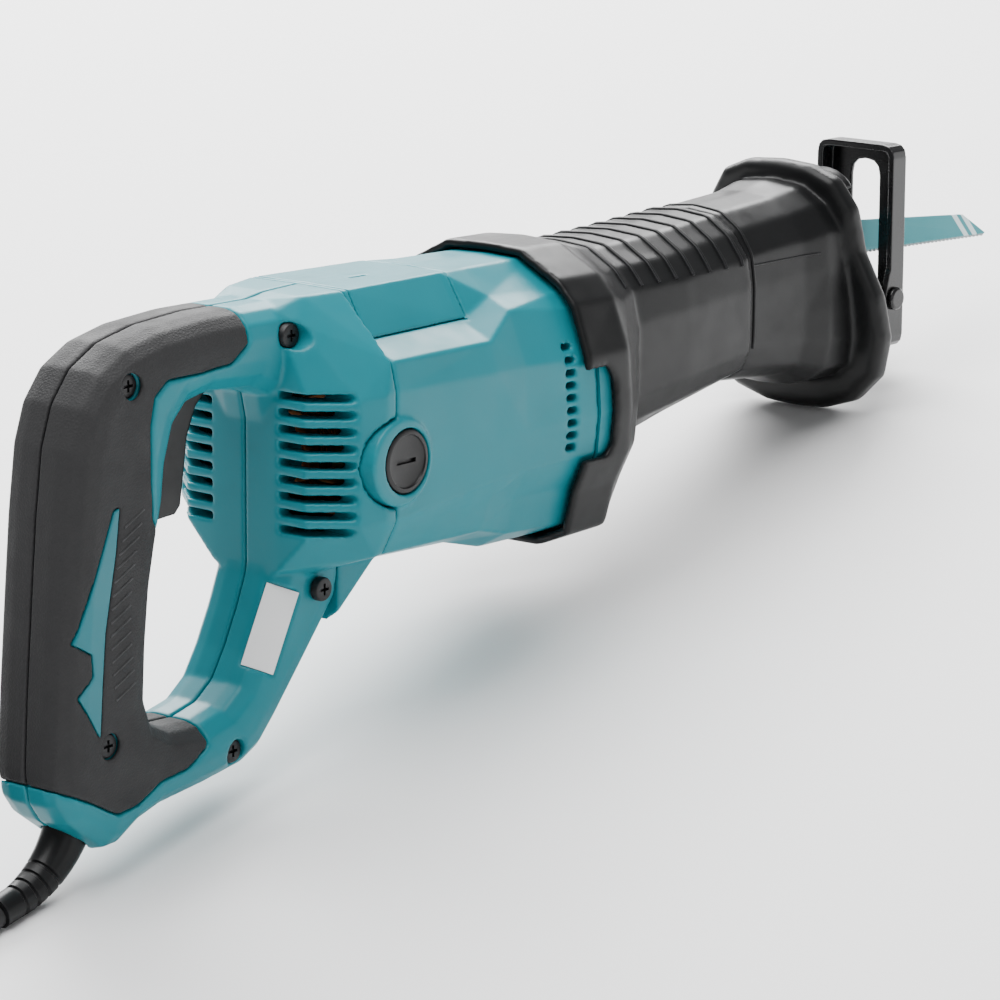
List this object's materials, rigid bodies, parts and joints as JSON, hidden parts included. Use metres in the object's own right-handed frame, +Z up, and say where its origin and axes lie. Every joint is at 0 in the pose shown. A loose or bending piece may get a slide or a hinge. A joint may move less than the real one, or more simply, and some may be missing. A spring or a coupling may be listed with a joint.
{
  "type": "corded reciprocating saw",
  "caption": "Corded reciprocating saw with a D-shaped rear handle, vented motor casing, rubber covered gear nose, hinged shoe and a narrow blade.",
  "frame": {"origin": "middle of the bounding box of the saw without its loose cord, on the surface that it stands on", "axes": "+X the way the blade points, seen from above; +Y the saw's left; +Z up. The saw rests nose down by 13.7 degrees on its nose guard and its cord guard"},
  "size_m": [0.6547, 0.1646, 0.1633],
  "materials": {
    "teal_plastic": "satin moulded",
    "teal_insert": "satin moulded",
    "soft_grip": "fine pebble",
    "black_rubber": "satin",
    "black_plastic": "satin",
    "dark_plastic": "matt",
    "label": "blank, satin silver",
    "cast_alloy": "as cast",
    "bright_steel": "ground",
    "bearing_steel": "polished",
    "dark_steel": "blackened",
    "black_steel": "gloss black",
    "lamination": "stacked sheet",
    "copper": "enamelled copper",
    "brass": "satin",
    "carbon": "matt",
    "blade_paint": "satin",
    "cord_rubber": "matt"
  },
  "bodies": {
    "main": {"brush_cap_left": "black_plastic", "brush_cap_right": "black_plastic", "brush_holder_left": "brass", "brush_holder_right": "brass", "carbon_brush_left": "carbon", "carbon_brush_right": "carbon", "cord": "cord_rubber", "cord_coil": "cord_rubber", "cord_guard": "black_rubber", "cord_tie": "black_plastic", "crank_post": "bright_steel", "field_core": "lamination", "field_winding_front": "copper", "field_winding_rear": "copper", "front_bearing": "bearing_steel", "front_cover": "black_rubber", "gear_housing": "cast_alloy", "grip_accent_left": "teal_insert", "grip_accent_right": "teal_insert", "grip_left": "soft_grip", "grip_right": "soft_grip", "handle_screw_1": "dark_steel", "handle_screw_2": "dark_steel", "handle_screw_3": "dark_steel", "handle_screw_4": "dark_steel", "handle_screw_5": "dark_steel", "handle_shell_left": "teal_plastic", "handle_shell_right": "teal_plastic", "label_plate": "label", "lug_screw_1": "dark_steel", "lug_screw_2": "dark_steel", "lug_screw_3": "dark_steel", "lug_screw_4": "dark_steel", "motor_housing": "teal_plastic", "nose_guard": "black_rubber", "plug": "black_rubber", "plug_pin_left": "brass", "plug_pin_right": "brass", "rear_bearing": "bearing_steel", "rod_bush_front": "brass", "rod_bush_rear": "brass", "switch_body": "dark_plastic", "top_panel": "teal_plastic"},
    "armature": {"armature_shaft": "bright_steel", "armature_core": "lamination", "armature_winding_rear": "copper", "armature_winding_front": "copper", "commutator": "copper", "cooling_fan": "dark_plastic", "pinion": "bright_steel"},
    "crank": {"crank_gear": "bright_steel"},
    "blade_rod": {"slider_rod": "bright_steel", "blade_clamp": "bright_steel", "blade": "blade_paint"},
    "clamp_sleeve": {"clamp_sleeve": "dark_steel"},
    "shoe_bar": {"shoe_bar": "black_steel", "shoe_pivot_pin": "black_steel"},
    "shoe": {"shoe_plate": "black_steel"},
    "trigger": {"trigger": "black_plastic"},
    "lock_button": {"lock_button": "black_plastic"}
  },
  "joints": [
    {"name": "armature_spin", "type": "hinge", "parent": "main", "child": "armature", "pos_m": [-0.11025, 0, 0.09405], "axis": [0.9715, 0, -0.2368], "continuous": true},
    {"name": "crank_spin", "type": "hinge", "parent": "main", "child": "crank", "pos_m": [0.03548, 0, 0.05852], "axis": [0.2368, 0, 0.9715], "continuous": true},
    {"name": "blade_stroke", "type": "slide", "parent": "main", "child": "blade_rod", "axis": [0.9715, 0, -0.2368], "range_m": [0, 0.028]},
    {"name": "clamp_twist", "type": "hinge", "parent": "blade_rod", "child": "clamp_sleeve", "pos_m": [0.16595, 0, 0.06171], "axis": [0.9715, 0, -0.2368], "range_deg": [0, 60], "stiffness_Nm_per_rad": 0.08, "springref_deg": -17.19},
    {"name": "shoe_reach", "type": "slide", "parent": "main", "child": "shoe_bar", "axis": [0.9715, 0, -0.2368], "range_m": [0, 0.03]},
    {"name": "shoe_tilt", "type": "hinge", "parent": "shoe_bar", "child": "shoe", "pos_m": [0.19501, 0, 0.0289], "axis": [0, 1, 0], "range_deg": [-5, 25]},
    {"name": "trigger_pull", "type": "hinge", "parent": "main", "child": "trigger", "pos_m": [-0.17539, 0, 0.13926], "axis": [0, 1, 0], "range_deg": [0, 9], "stiffness_Nm_per_rad": 1.2, "springref_deg": -8.59},
    {"name": "lock_press", "type": "slide", "parent": "main", "child": "lock_button", "axis": [0, -1, 0], "range_m": [0, 0.0025], "stiffness_N_per_m": 600, "springref_m": -0.002}
  ],
  "couplings": [
    {"joint": "crank_spin", "follows": "armature_spin", "ratio": 0.2}
  ]
}
